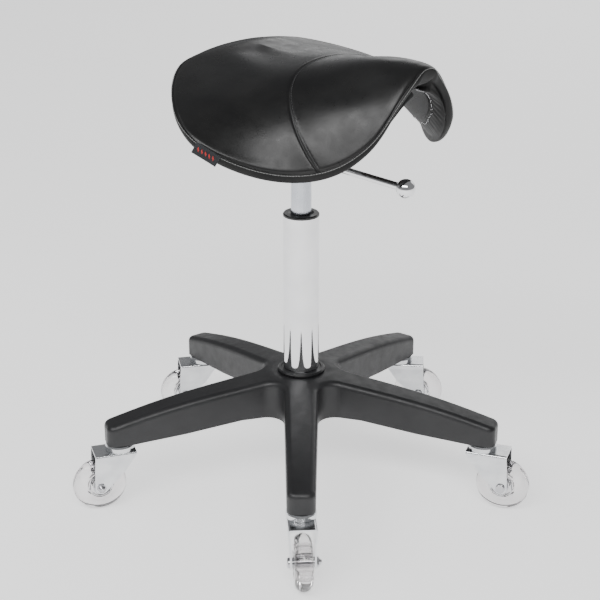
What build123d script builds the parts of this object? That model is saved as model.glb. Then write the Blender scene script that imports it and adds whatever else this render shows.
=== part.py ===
from build123d import *
from math import atan, cos, hypot, radians, sin
import os

# Saddle stool on a five-arm base. Millimetres, +Z up, floor at z = 0.
# Everything is drawn about the column axis and moved by AXIS_Y when it is saved,
# so that the origin is the centre of the footprint on the floor.
AXIS_Y = 48.2

# Five-arm base
ARM_ANGLES = [-90, -18, 54, 126, 198]
STEM_CIRCLE_R = 265.4
ARM_END_R = 284.0
ARM_HALF_ROOT = 25.2
ARM_HALF_TIP = 18.4
ARM_WEB_FILLET = 24.0
ARM_NOSE_FILLET = 11.0
ARM_SHOULDER = 8.0
ARM_WALL = 5.0
SOCKET_TOP_Z = 126.0

# Column and gas spring
COLUMN_R = 25.0
COLUMN_BORE_R = 23.0
COLUMN_BOTTOM_Z = 82.0
COLUMN_TOP_Z = 401.0
CYLINDER_R = 14.0
CYLINDER_BORE_R = 12.0
CYLINDER_BOTTOM_Z = 145.0
CYLINDER_TOP_Z = 470.0
TAPER_START_Z = 430.0
TAPER_END_R = 13.4
ROD_R = 5.0
PISTON_LOW_Z = 262.0
PISTON_TOP_Z = 275.0
FIT = 0.06

# Seat mechanism in its own axes (+X along the lever), and how far the saddle turns on it
SEAT_YAW = -47.5
SADDLE_TURN = 5.9
LEVER_Z = 483.0
LEVER_R = 5.0
LEVER_INNER_X = -8.0
LEVER_KNOB_X = 193.0
KNOB_R = 12.4
PIVOT_X = 33.0
FLANGE_Z = 521.0
PLATE = 2.5
BLOCK_R = 80.0
BOLT_CIRCLE_R = 70.0

# Casters, in their own axes: stem on Z, wheel trailing along +X
CASTER_YAW = [-86, -19, -5, 192, 198]
TRAIL = 31.0
WHEEL_R = 37.5
WHEEL_HALF = 12.0
CORE_R = 17.0
BEARING_R = 11.0
AXLE_R = 4.0
CROWN_TOP_Z = 88.0
STEM_R = 5.5

# Saddle top surface: station along the seat, half width, edge height, crest height, thickness
SADDLE = [
    (-114.5, 66.0, 620.8, 625.3, 30.0),
    (-110.0, 103.0, 616.1, 625.3, 33.0),
    (-98.0, 130.1, 610.0, 625.2, 35.0),
    (-80.0, 155.1, 602.3, 624.7, 35.0),
    (-50.0, 185.1, 589.7, 623.6, 35.0),
    (-15.0, 210.0, 573.7, 622.7, 35.0),
    (20.0, 217.3, 554.8, 623.4, 35.0),
    (50.0, 201.7, 535.9, 625.6, 35.0),
    (78.0, 176.0, 521.1, 629.1, 35.0),
    (105.0, 151.3, 514.0, 633.7, 35.0),
    (135.0, 125.9, 515.8, 638.6, 35.0),
    (160.0, 105.7, 527.0, 640.7, 35.0),
    (180.0, 88.8, 545.1, 640.2, 33.0),
    (192.0, 75.6, 563.8, 638.5, 30.0),
    (200.0, 53.0, 595.0, 636.8, 27.0),
    (205.5, 15.0, 631.5, 635.2, 23.0),
]
SADDLE_POWER = 2.16
EDGE_THICKNESS = 0.48
COVER = 1.6
SECTIONS = 17
ACROSS = 13


def saddle_station(x):
    """Half width, edge height, crest height and thickness at any station of the saddle."""
    last = len(SADDLE) - 1
    i = 0
    while i < last - 1 and x > SADDLE[i + 1][0]:
        i += 1
    x0, x1 = SADDLE[i][0], SADDLE[i + 1][0]
    u = (x - x0) / (x1 - x0)
    values = []
    for k in range(1, 5):
        y0, y1 = SADDLE[i][k], SADDLE[i + 1][k]
        slope = (y1 - y0) / (x1 - x0)
        before, after = slope, slope
        if i > 0:
            before = (y1 - SADDLE[i - 1][k]) / (x1 - SADDLE[i - 1][0])
        if i < last - 1:
            after = (SADDLE[i + 2][k] - y0) / (SADDLE[i + 2][0] - x0)
        before *= x1 - x0
        after *= x1 - x0
        cubic = (2 * u**3 - 3 * u**2 + 1) * y0 + (u**3 - 2 * u**2 + u) * before
        values.append(cubic + (3 * u**2 - 2 * u**3) * y1 + (u**3 - u**2) * after)
    return values


def saddle_point(x, t, depth):
    """Point (y, z) in the section at x: t runs -1 to 1 across, depth goes down into the pad."""
    half, edge, crest, thick = saddle_station(x)
    rise = crest - edge
    slope = atan(SADDLE_POWER * rise / half)
    edge_thick = thick * EDGE_THICKNESS
    inner_half = max(half - edge_thick * sin(slope), 0.42 * half)
    inner_edge = edge - edge_thick * cos(slope)
    inner_crest = crest - thick
    across = 1 - abs(t) ** SADDLE_POWER
    outer_z = edge + rise * across
    inner_z = inner_edge + (inner_crest - inner_edge) * across
    d = depth / 35.0
    return (t * (half + d * (inner_half - half)), outer_z + d * (inner_z - outer_z))


def saddle_reach(x, inset):
    """How far t may run when the layer stops short of the saddle's edge."""
    half, edge, crest, thick = saddle_station(x)
    return max(1 - inset / hypot(half, crest - edge), 0.08)


def saddle_layer(top, bottom, inset):
    """One layer of the pad between two depths, set in from the edge all round."""
    start = SADDLE[0][0] + inset
    length = SADDLE[-1][0] - inset - start
    with BuildPart() as layer:
        for i in range(SECTIONS):
            x = start + length * (1 - cos(radians(180 * i / (SECTIONS - 1)))) / 2
            reach = saddle_reach(x, inset)
            steps = [reach * (2 * k / (ACROSS - 1) - 1) for k in range(ACROSS)]
            upper = [saddle_point(x, t, top) for t in steps]
            lower = [saddle_point(x, t, bottom) for t in reversed(steps)]
            with BuildSketch(Plane.YZ.offset(x)):
                with BuildLine():
                    Spline(*upper)
                    Line(upper[-1], lower[0])
                    Spline(*lower)
                    Line(lower[-1], upper[0])
                make_face()
        loft()
    return Rot(0, 0, SADDLE_TURN) * layer.part


def save(part, name):
    """Move a finished piece from the column axis into the stool's frame and write it."""
    placed = Pos(0, AXIS_Y, 0) * part
    placed.label = name
    export_step(placed, f"parts/{name}.step")


def save_seat(part, name):
    """Turn a piece drawn in the seat's axes to the seat's resting direction and write it."""
    save(Rot(0, 0, SEAT_YAW) * part, name)


os.makedirs("parts", exist_ok=True)

# ---------------------------------------------------------------- five-arm base
ARM_TOP = [(50, 169.6), (95, 163), (166, 152.6), (218, 142.6), (268, 130.4), (290, 124.5)]

with BuildPart() as star_base:
    with BuildSketch(Plane.XY.offset(90)) as star_plan:
        with PolarLocations(0, 5, start_angle=ARM_ANGLES[0]):
            Polygon(
                (0, -ARM_HALF_ROOT),
                (ARM_END_R, -ARM_HALF_TIP),
                (ARM_END_R, ARM_HALF_TIP),
                (0, ARM_HALF_ROOT),
                align=None,
            )
        inner = star_plan.vertices().filter_by(lambda v: hypot(v.X, v.Y) < 60)
        fillet(inner, radius=ARM_WEB_FILLET)
        noses = star_plan.vertices().filter_by(lambda v: hypot(v.X, v.Y) > 270)
        fillet(noses, radius=ARM_NOSE_FILLET)
    extrude(amount=100)
    with BuildSketch(Plane.XZ):
        with BuildLine():
            Line((0, 114), (0, 170.5))
            Line((0, 170.5), (42, 170.5))
            Spline((42, 170.5), *ARM_TOP, tangents=[(1, 0), (22, -6)])
            Polyline((290, 124.5), (290, 98), (251, 98.6), (175, 104.7), (98, 114), (0, 114))
        make_face()
    revolve(axis=Axis.Z, mode=Mode.INTERSECT)
    shoulders = []
    for face in star_base.faces():
        if face.normal_at(face.center()).Z > 0.3:
            shoulders += [e for e in face.edges() if hypot((e @ 0.5).X, (e @ 0.5).Y) > 43]
    fillet(shoulders, radius=ARM_SHOULDER)
    # hub boss under the arms
    with BuildSketch(Plane.XY.offset(100)):
        Circle(34)
    extrude(amount=16)
    with BuildSketch(Plane.XY.offset(90)):
        Circle(COLUMN_R)
    extrude(amount=100, mode=Mode.SUBTRACT)
    # socket for each caster stem
    with BuildSketch(Plane.XY.offset(90)):
        with PolarLocations(STEM_CIRCLE_R, 5, start_angle=ARM_ANGLES[0]):
            Circle(STEM_R + FIT)
    extrude(amount=SOCKET_TOP_Z - 90, mode=Mode.SUBTRACT)

# pockets between the ribs, open underneath
with BuildPart() as arm_pockets:
    with BuildSketch(Plane.XY.offset(90)) as pocket_plan:
        with PolarLocations(0, 5, start_angle=ARM_ANGLES[0]):
            for near, far in ((46, 106), (110, 170), (174, 246)):
                taper = (ARM_HALF_ROOT - ARM_HALF_TIP) / ARM_END_R
                wide = ARM_HALF_ROOT - taper * near - ARM_WALL
                narrow = ARM_HALF_ROOT - taper * far - ARM_WALL
                Polygon((near, 1.7), (far, 1.7), (far, narrow), (near, wide), align=None)
                Polygon((near, -1.7), (far, -1.7), (far, -narrow), (near, -wide), align=None)
        fillet(pocket_plan.vertices(), radius=2)
    extrude(amount=100)
    with BuildSketch(Plane.XZ):
        with BuildLine():
            Polyline((0, 80), (0, 155), (60, 155), (95, 155), (166, 144.6), (218, 134.6))
            Polyline((218, 134.6), (260, 124), (260, 80), (0, 80))
        make_face()
    revolve(axis=Axis.Z, mode=Mode.INTERSECT)

with BuildPart() as ribbed_base:
    add(star_base.part)
    add(arm_pockets.part, mode=Mode.SUBTRACT)
save(ribbed_base.part, "star_base")

with BuildPart() as hub_ring:
    with BuildSketch(Plane.XZ):
        Polygon(
            (COLUMN_R, 170.5), (32.2, 170.5), (33.3, 171.6), (33.3, 173.6), (31.6, 175.4),
            (28.5, 175.4), (27.6, 174), (COLUMN_R, 174), align=None,
        )
    revolve(axis=Axis.Z)
save(hub_ring.part, "hub_ring")

# ---------------------------------------------------------------- column
with BuildPart() as column_tube:
    with BuildSketch(Plane.XY.offset(COLUMN_BOTTOM_Z)):
        Circle(COLUMN_R)
        Circle(COLUMN_BORE_R, mode=Mode.SUBTRACT)
    extrude(amount=COLUMN_TOP_Z - COLUMN_BOTTOM_Z)
save(column_tube.part, "column_tube")

with BuildPart() as column_bush:
    with BuildSketch(Plane.XZ):
        Polygon(
            (CYLINDER_R + FIT, 330), (COLUMN_BORE_R, 330), (COLUMN_BORE_R, COLUMN_TOP_Z),
            (COLUMN_R, COLUMN_TOP_Z), (COLUMN_R, 403.4), (COLUMN_R - 1.2, 404.8),
            (CYLINDER_R + 3.5, 404.8), (CYLINDER_R + FIT, 402.6), align=None,
        )
    revolve(axis=Axis.Z)
save(column_bush.part, "column_bush")

with BuildPart() as column_foot:
    with BuildSketch(Plane.XY.offset(COLUMN_BOTTOM_Z)):
        Circle(COLUMN_BORE_R)
        Circle(ROD_R + FIT, mode=Mode.SUBTRACT)
    extrude(amount=3)
save(column_foot.part, "column_foot")

# ---------------------------------------------------------------- thrust bearing
LOWER_RACE_Z = COLUMN_BOTTOM_Z + 3
BALL_R = 1.98

with BuildPart() as lower_thrust_race:
    with BuildSketch(Plane.XY.offset(LOWER_RACE_Z)):
        Circle(14)
        Circle(ROD_R + 0.4, mode=Mode.SUBTRACT)
    extrude(amount=2.5)
save(lower_thrust_race.part, "lower_thrust_race")

with BuildPart() as thrust_balls:
    with PolarLocations(10, 10):
        with Locations((0, 0, LOWER_RACE_Z + 2.5 + BALL_R)):
            Sphere(BALL_R)
save(thrust_balls.part, "thrust_balls")

UPPER_RACE_Z = LOWER_RACE_Z + 2.5 + 2 * BALL_R + 0.04
with BuildPart() as upper_thrust_race:
    with BuildSketch(Plane.XY.offset(UPPER_RACE_Z)):
        Circle(14)
        Circle(ROD_R, mode=Mode.SUBTRACT)
    extrude(amount=2.5)
save(upper_thrust_race.part, "upper_thrust_race")

with BuildPart() as bump_stop:
    with BuildSketch(Plane.XY.offset(UPPER_RACE_Z + 2.5)):
        Circle(10)
        Circle(ROD_R, mode=Mode.SUBTRACT)
    extrude(amount=4)
    chamfer(bump_stop.edges().filter_by(GeomType.CIRCLE).sort_by(SortBy.RADIUS)[-2:], 0.8)
save(bump_stop.part, "bump_stop")

# ---------------------------------------------------------------- gas spring
with BuildPart() as piston_rod:
    with BuildSketch(Plane.XZ):
        Polygon(
            (0, 75), (4.2, 75), (ROD_R, 75.8), (ROD_R, 78.6), (4.2, 78.6), (4.2, 80.4),
            (ROD_R, 80.4), (ROD_R, PISTON_TOP_Z), (0, PISTON_TOP_Z), align=None,
        )
    revolve(axis=Axis.Z)
save(piston_rod.part, "piston_rod")

with BuildPart() as rod_clip:
    with BuildSketch(Plane.XY.offset(78.6)):
        Circle(8)
        Circle(4.2, mode=Mode.SUBTRACT)
        with Locations((7, 0)):
            Rectangle(7, 5.2, mode=Mode.SUBTRACT)
    extrude(amount=1.8)
save(rod_clip.part, "rod_clip")

with BuildPart() as piston_head:
    with BuildSketch(Plane.XY.offset(PISTON_LOW_Z)):
        Circle(CYLINDER_BORE_R - FIT)
        Circle(ROD_R, mode=Mode.SUBTRACT)
    extrude(amount=PISTON_TOP_Z - PISTON_LOW_Z)
save(piston_head.part, "piston_head")

with BuildPart() as gas_cylinder:
    with BuildSketch(Plane.XZ):
        Polygon(
            (CYLINDER_BORE_R, CYLINDER_BOTTOM_Z), (CYLINDER_R - 0.8, CYLINDER_BOTTOM_Z),
            (CYLINDER_R, CYLINDER_BOTTOM_Z + 0.8), (CYLINDER_R, TAPER_START_Z),
            (TAPER_END_R, CYLINDER_TOP_Z), (4 + FIT, CYLINDER_TOP_Z),
            (4 + FIT, CYLINDER_TOP_Z - 8), (CYLINDER_BORE_R, CYLINDER_TOP_Z - 8), align=None,
        )
    revolve(axis=Axis.Z)
save_seat(gas_cylinder.part, "gas_cylinder")

with BuildPart() as rod_guide_seal:
    with BuildSketch(Plane.XY.offset(CYLINDER_BOTTOM_Z)):
        Circle(CYLINDER_BORE_R)
        Circle(ROD_R + FIT, mode=Mode.SUBTRACT)
    extrude(amount=14)
save_seat(rod_guide_seal.part, "rod_guide_seal")

with BuildPart() as release_pin:
    with BuildSketch(Plane.XY.offset(455)):
        Circle(4)
    extrude(amount=22.8)
    chamfer(release_pin.edges().sort_by(Axis.Z)[-1:], 0.8)
save_seat(release_pin.part, "release_pin")

# ---------------------------------------------------------------- seat mechanism
taper_step = (CYLINDER_R - TAPER_END_R) / (CYLINDER_TOP_Z - TAPER_START_Z)
socket_low_r = CYLINDER_R - taper_step * (459 - TAPER_START_Z)
with BuildPart() as taper_socket:
    with BuildSketch(Plane.XZ):
        Polygon(
            (socket_low_r, 459), (17, 459), (17, 472), (TAPER_END_R, 472),
            (TAPER_END_R, CYLINDER_TOP_Z), align=None,
        )
    revolve(axis=Axis.Z)
save_seat(taper_socket.part, "taper_socket")

with BuildPart() as mechanism_plate:
    with BuildSketch(Plane.XZ):
        Polygon(
            (17, 466), (33, 466), (61, FLANGE_Z), (85, FLANGE_Z), (85, FLANGE_Z + PLATE),
            (59.5, FLANGE_Z + PLATE), (31.5, 468.5), (17, 468.5), align=None,
        )
    revolve(axis=Axis.Z)
    # slot for the lever in the dish's front wall
    with BuildSketch(Plane.YZ.offset(26)):
        with Locations((0, 485)):
            SlotOverall(25, 12.4, rotation=90)
    extrude(amount=40, mode=Mode.SUBTRACT)
    # two ears that carry the lever's pivot
    with BuildSketch(Plane.XZ.offset(-9)):
        with BuildLine():
            Polyline((PIVOT_X + 6, 485), (PIVOT_X + 6, 468), (PIVOT_X - 6, 468), (PIVOT_X - 6, 485))
            ThreePointArc((PIVOT_X - 6, 485), (PIVOT_X, 491), (PIVOT_X + 6, 485))
        make_face()
        with Locations((PIVOT_X, LEVER_Z)):
            Circle(2.5 + FIT, mode=Mode.SUBTRACT)
    extrude(amount=2.4)
    with BuildSketch(Plane.XZ.offset(6.6)):
        with BuildLine():
            Polyline((PIVOT_X + 6, 485), (PIVOT_X + 6, 468), (PIVOT_X - 6, 468), (PIVOT_X - 6, 485))
            ThreePointArc((PIVOT_X - 6, 485), (PIVOT_X, 491), (PIVOT_X + 6, 485))
        make_face()
        with Locations((PIVOT_X, LEVER_Z)):
            Circle(2.5 + FIT, mode=Mode.SUBTRACT)
    extrude(amount=2.4)
    # bolt holes in the flange
    with BuildSketch(Plane.XY.offset(FLANGE_Z - 5)):
        with PolarLocations(BOLT_CIRCLE_R, 4, start_angle=45):
            Circle(4.5)
    extrude(amount=12, mode=Mode.SUBTRACT)
save_seat(mechanism_plate.part, "mechanism_plate")

with BuildPart() as lever_rod:
    with BuildSketch(Plane.YZ.offset(LEVER_INNER_X)):
        with Locations((0, LEVER_Z)):
            Circle(LEVER_R)
    extrude(amount=LEVER_KNOB_X - 4 - LEVER_INNER_X)
    with BuildSketch(Plane.XZ.offset(-20)):
        with Locations((PIVOT_X, LEVER_Z)):
            Circle(2.5)
    extrude(amount=40, mode=Mode.SUBTRACT)
save_seat(lever_rod.part, "lever_rod")

with BuildPart() as lever_pivot:
    with BuildSketch(Plane.XZ.offset(-9.6)):
        with Locations((PIVOT_X, LEVER_Z)):
            Circle(2.5)
    extrude(amount=19.2)
save_seat(lever_pivot.part, "lever_pivot")

with BuildPart() as lever_knob:
    with Locations((LEVER_KNOB_X, 0, LEVER_Z)):
        Sphere(KNOB_R)
    with BuildSketch(Plane.YZ.offset(LEVER_KNOB_X - 4)):
        with Locations((0, LEVER_Z)):
            Circle(LEVER_R)
    extrude(amount=-20, mode=Mode.SUBTRACT)
save_seat(lever_knob.part, "lever_knob")

# ---------------------------------------------------------------- saddle seat
pan_and_above = saddle_layer(0, 32.2, 0)
with BuildPart() as mounting_block:
    with BuildSketch(Plane.XY.offset(FLANGE_Z + PLATE)):
        Circle(BLOCK_R)
    extrude(amount=600 - FLANGE_Z - PLATE)
    add(pan_and_above, mode=Mode.SUBTRACT)
    with BuildSketch(Plane.XY.offset(FLANGE_Z + PLATE)):
        with PolarLocations(BOLT_CIRCLE_R, 4, start_angle=45):
            Circle(6)
    extrude(amount=18, mode=Mode.SUBTRACT)
save_seat(mounting_block.part.solids().sort_by(SortBy.VOLUME)[-1], "mounting_block")

outer = saddle_layer(0, 34, 0)
cavity = saddle_layer(COVER, 34 - COVER, COVER)
opening = saddle_layer(26, 44, 44)
with BuildPart() as seat_cover:
    add(outer)
    add(cavity, mode=Mode.SUBTRACT)
    add(opening, mode=Mode.SUBTRACT)
    add(mounting_block.part, mode=Mode.SUBTRACT)
save_seat(seat_cover.part, "seat_cover")

save_seat(saddle_layer(2.4, 21.5, 4.4), "seat_foam")

save_seat(saddle_layer(22.0, 32.0, 4.5), "seat_pan")

panel_body = saddle_layer(34.4, 35.6, 38)
with BuildPart() as underside_panel:
    add(panel_body)
    with BuildSketch(Plane.XY.offset(500)):
        Circle(BLOCK_R + 3)
    extrude(amount=150, mode=Mode.SUBTRACT)
save_seat(underside_panel.part, "underside_panel")

with BuildPart() as threaded_inserts:
    with BuildSketch(Plane.XY.offset(FLANGE_Z + PLATE)):
        with PolarLocations(BOLT_CIRCLE_R, 4, start_angle=45):
            Circle(6)
            Circle(4, mode=Mode.SUBTRACT)
    extrude(amount=18)
save_seat(threaded_inserts.part, "threaded_inserts")

with BuildPart() as mounting_bolts:
    with BuildSketch(Plane.XY.offset(FLANGE_Z)):
        with PolarLocations(BOLT_CIRCLE_R, 4, start_angle=45):
            Circle(4)
    extrude(amount=17)
    with BuildSketch(Plane.XY.offset(FLANGE_Z - 5.3)):
        with PolarLocations(BOLT_CIRCLE_R, 4, start_angle=45):
            RegularPolygon(6.6, 6)
    extrude(amount=5.3)
save_seat(mounting_bolts.part, "mounting_bolts")


def edge_frame(x, side, inset, depth):
    """Plane on the saddle's underside at a station: X along the edge, Z out of the surface."""
    def spot(at):
        t = side * saddle_reach(at, inset)
        y, z = saddle_point(at, t, depth)
        return Vector(at, y, z)

    along = spot(x + 4) - spot(x - 4)
    here_t = side * saddle_reach(x, inset)
    upper = Vector(x, *saddle_point(x, here_t, depth - 8))
    return Plane(origin=spot(x), x_dir=along, z_dir=spot(x) - upper).offset(1.0)


# staples that hold the cover's wrapped edge to the pan
with BuildPart() as staples:
    for side in (-1, 1):
        for k in range(19):
            station = -76 + 13.5 * k
            with BuildSketch(edge_frame(station, side, 32.5, 34.0)):
                Rectangle(8, 0.9)
            extrude(amount=0.5)
save_seat(Rot(0, 0, SADDLE_TURN) * staples.part, "staples")

# woven tab sewn under the seam on the near side
with BuildPart() as label_tab:
    along = Vector(0.768, 0.421, -0.484)
    down = Vector(-0.4025, -0.271, -0.8744)
    tab_plane = Plane(origin=(35.1, -212.5, 538.8), x_dir=along, z_dir=along.cross(down))
    with BuildSketch(tab_plane):
        Rectangle(35, 13)
    extrude(amount=0.6, both=True)
save_seat(Rot(0, 0, SADDLE_TURN) * label_tab.part, "label_tab")

# ---------------------------------------------------------------- casters
stem_spots = [Rot(0, 0, angle) * Pos(STEM_CIRCLE_R, 0, 0) for angle in ARM_ANGLES]

with BuildPart() as caster_stems:
    with BuildSketch(Plane.XZ):
        Polygon(
            (0, 82), (8.2, 82), (8.8, 82.8), (8.8, 85.2), (STEM_R, 85.2), (STEM_R, 112),
            (4.8, 112), (4.8, 116), (STEM_R, 116), (STEM_R, 124.6), (4.4, 125.8), (0, 125.8),
            align=None,
        )
    revolve(axis=Axis.Z)

with BuildPart() as caster_cups:
    with BuildSketch(Plane.XZ):
        Polygon(
            (STEM_R, 98), (16, 98), (18.8, 96.8), (20, 94.2), (20, 88.4), (18.2, 88.4),
            (18.2, 93.6), (17.2, 94.6), (STEM_R, 94.6), align=None,
        )
    revolve(axis=Axis.Z)

with BuildPart() as caster_swivel_balls:
    with PolarLocations(12.5, 10):
        with Locations((0, 0, 91.4)):
            Sphere(3.0)

with BuildPart() as stem_grip_rings:
    with BuildSketch(Plane.XY.offset(112)):
        Circle(STEM_R + FIT)
        Circle(4.8, mode=Mode.SUBTRACT)
        with Locations((5, 0)):
            Rectangle(4, 1.4, mode=Mode.SUBTRACT)
    extrude(amount=4)

for name, piece in (
    ("caster_stems", caster_stems.part),
    ("caster_cups", caster_cups.part),
    ("caster_swivel_balls", caster_swivel_balls.part),
    ("stem_grip_rings", stem_grip_rings.part),
):
    copies = [spot * solid for spot in stem_spots for solid in piece.solids()]
    save(Compound(children=copies), name)

with BuildPart() as fork:
    # side view of the legs and crown
    with BuildSketch(Plane.XZ):
        Polygon(
            (-20, CROWN_TOP_Z), (37.5, CROWN_TOP_Z), (TRAIL + 9, WHEEL_R), (TRAIL, WHEEL_R),
            (24.64, 31.14), (-4, 60), (-20, 84.5), align=None,
        )
        with Locations((TRAIL, WHEEL_R)):
            Circle(9)
    extrude(amount=25, both=True)
    # front view: a bent strap, slightly narrower at the axle
    with BuildSketch(Plane.YZ) as strap:
        Polygon((-19, 88), (19, 88), (19, 80), (17, 60), (17, 20), (-17, 20), (-17, 60),
                (-19, 80), align=None)
        fillet(strap.vertices().group_by(Axis.Y)[-1], radius=3.5)
        Polygon((-16.5, 85.5), (16.5, 85.5), (16.5, 80), (14.5, 60), (14.5, 15), (-14.5, 15),
                (-14.5, 60), (-16.5, 80), align=None, mode=Mode.SUBTRACT)
    extrude(amount=60, both=True, mode=Mode.INTERSECT)
    with BuildSketch(Plane.XY.offset(80)):
        Circle(STEM_R + FIT)
    extrude(amount=20, mode=Mode.SUBTRACT)
    with BuildSketch(Plane.XZ):
        with Locations((TRAIL, WHEEL_R)):
            Circle(AXLE_R + 0.05)
    extrude(amount=30, both=True, mode=Mode.SUBTRACT)

with BuildPart() as axle:
    # bolt with a low round head, two spacers, the bearing sleeve and a pointed nut
    with BuildSketch(Plane.XZ.offset(-17)):
        with Locations((TRAIL, WHEEL_R)):
            Circle(AXLE_R)
    extrude(amount=34)
    with BuildSketch(Plane.XZ.offset(17)):
        with Locations((TRAIL, WHEEL_R)):
            Circle(6.8)
    extrude(amount=3)
    chamfer(axle.faces().sort_by(Axis.Y)[0].edges(), 1)

with BuildPart() as axle_nut:
    with BuildSketch(Plane.XZ.offset(-17)):
        with Locations((TRAIL, WHEEL_R)):
            RegularPolygon(6.6, 6)
    extrude(amount=-3)
    with BuildSketch(Plane.XZ.offset(-20)):
        with Locations((TRAIL, WHEEL_R)):
            Circle(5.4)
    extrude(amount=-4, taper=40)

with BuildPart() as axle_sleeves:
    with BuildSketch(Plane.XZ.offset(-4.9)):
        with Locations((TRAIL, WHEEL_R)):
            Circle(6)
            Circle(AXLE_R, mode=Mode.SUBTRACT)
    extrude(amount=9.8)
    with BuildSketch(Plane.XZ.offset(-14.5)):
        with Locations((TRAIL, WHEEL_R)):
            Circle(6.5)
            Circle(AXLE_R, mode=Mode.SUBTRACT)
    extrude(amount=2.2)
    with BuildSketch(Plane.XZ.offset(12.3)):
        with Locations((TRAIL, WHEEL_R)):
            Circle(6.5)
            Circle(AXLE_R, mode=Mode.SUBTRACT)
    extrude(amount=2.2)

# wheel pieces are turned about Z, then laid over onto the axle
with BuildPart() as tyre:
    with BuildSketch(Plane.XZ):
        with BuildLine():
            Polyline((27, -WHEEL_HALF), (22, -WHEEL_HALF), (19.5, -10.5), (CORE_R, -10.5),
                     (CORE_R, 10.5), (19.5, 10.5), (22, WHEEL_HALF), (27, WHEEL_HALF))
            ThreePointArc((27, WHEEL_HALF), (WHEEL_R, 0), (27, -WHEEL_HALF))
        make_face()
    revolve(axis=Axis.Z)

with BuildPart() as wheel_core:
    with BuildSketch(Plane.XZ):
        Polygon(
            (BEARING_R, 12), (14.5, 12), (15.5, 11), (CORE_R, 10.5), (CORE_R, -10.5),
            (15.5, -11), (14.5, -12), (BEARING_R, -12), (BEARING_R, -5), (8.5, -5),
            (8.5, 5), (BEARING_R, 5), align=None,
        )
    revolve(axis=Axis.Z)

with BuildPart() as bearing_pair:
    for low in (5, -12):
        with BuildSketch(Plane.XY.offset(low)):
            Circle(BEARING_R)
            Circle(AXLE_R + FIT, mode=Mode.SUBTRACT)
        extrude(amount=7)
    for rim_z in (12.0, -12.0):
        with BuildSketch(Plane.XY.offset(rim_z)):
            Circle(9.3)
            Circle(6.2, mode=Mode.SUBTRACT)
        extrude(amount=-0.5 if rim_z > 0 else 0.5, mode=Mode.SUBTRACT)

wheel_seat = Pos(TRAIL, 0, WHEEL_R) * Rot(90, 0, 0)
axle_solids = axle.part.solids() + axle_nut.part.solids() + axle_sleeves.part.solids()
for number, (arm_angle, yaw) in enumerate(zip(ARM_ANGLES, CASTER_YAW), start=1):
    spot = Rot(0, 0, arm_angle) * Pos(STEM_CIRCLE_R, 0, 0) * Rot(0, 0, yaw - arm_angle)
    save(spot * fork.part, f"fork_{number}")
    save(Compound(children=[spot * solid for solid in axle_solids]), f"axle_{number}")
    save(spot * wheel_seat * tyre.part, f"tyre_{number}")
    save(spot * wheel_seat * wheel_core.part, f"wheel_core_{number}")
    bearings = [spot * wheel_seat * solid for solid in bearing_pair.part.solids()]
    save(Compound(children=bearings), f"bearings_{number}")
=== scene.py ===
import math

import bmesh
import bpy
import numpy as np
from mathutils import Matrix, Vector


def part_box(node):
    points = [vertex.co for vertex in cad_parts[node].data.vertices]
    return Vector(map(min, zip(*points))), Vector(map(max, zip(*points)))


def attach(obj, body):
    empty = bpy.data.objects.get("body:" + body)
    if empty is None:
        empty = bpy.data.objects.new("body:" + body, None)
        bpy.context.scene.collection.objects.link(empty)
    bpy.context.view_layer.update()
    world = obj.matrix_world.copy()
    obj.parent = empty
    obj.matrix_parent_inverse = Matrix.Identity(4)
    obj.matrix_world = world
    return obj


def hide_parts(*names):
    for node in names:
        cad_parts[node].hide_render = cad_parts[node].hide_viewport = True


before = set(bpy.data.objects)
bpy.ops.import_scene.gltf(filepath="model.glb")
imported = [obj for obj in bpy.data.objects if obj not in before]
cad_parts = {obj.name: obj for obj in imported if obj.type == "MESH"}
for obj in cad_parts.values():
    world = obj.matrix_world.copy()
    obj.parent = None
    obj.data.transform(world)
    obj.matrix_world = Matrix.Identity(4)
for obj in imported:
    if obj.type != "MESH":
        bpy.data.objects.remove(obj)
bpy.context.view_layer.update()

MM = 0.001
RNG = np.random.default_rng(7)

# ------------------------------------------------------------------ saddle shape
# The seat is drawn in its own axes, in millimetres: +X to the pommel, Z from the floor,
# the column axis at x = y = 0. Each row is a section: station along the seat,
# half width, edge height, crest height, thickness.
SADDLE = np.array([
    (-114.5, 66.0, 620.8, 625.3, 30.0),
    (-110.0, 103.0, 616.1, 625.3, 33.0),
    (-98.0, 130.1, 610.0, 625.2, 35.0),
    (-80.0, 155.1, 602.3, 624.7, 35.0),
    (-50.0, 185.1, 589.7, 623.6, 35.0),
    (-15.0, 210.0, 573.7, 622.7, 35.0),
    (20.0, 217.3, 554.8, 623.4, 35.0),
    (50.0, 201.7, 535.9, 625.6, 35.0),
    (78.0, 176.0, 521.1, 629.1, 35.0),
    (105.0, 151.3, 514.0, 633.7, 35.0),
    (135.0, 125.9, 515.8, 638.6, 35.0),
    (160.0, 105.7, 527.0, 640.7, 35.0),
    (180.0, 88.8, 545.1, 640.2, 33.0),
    (192.0, 75.6, 563.8, 638.5, 30.0),
    (200.0, 53.0, 595.0, 636.8, 27.0),
    (205.5, 15.0, 631.5, 635.2, 23.0),
])
POWER = 2.16
EDGE_THICKNESS = 0.47
FULL_THICKNESS = 35.0
SHELL_DEPTH = 34.0 / 35.0
AROUND = 640
UNIFORM_RINGS = 30
SPINE_REAR, SPINE_FRONT = -70.0, 165.0
EDGE_RINGS = [0.0, 0.9, 1.9, 3.1, 4.6, 6.8, 10.0, 14.0]

# How far the saddle is turned on its plate, against the lever
SADDLE_TURN = math.radians(5.9)

# Cross seam: station at the crest, how far its ends run forward, and its power
SEAM_START, SEAM_SWEEP, SEAM_POWER = 40.65, 96.84, 2.04
TOPSTITCH = 3.4

# Depth of the two seams below the cover: a sharp line and the soft dip round it
PERIMETER_LINE, PERIMETER_DIP = 1.5, 0.9
CROSS_LINE, CROSS_DIP, TOPSTITCH_DIP = 1.5, 0.5, 0.55

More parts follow.
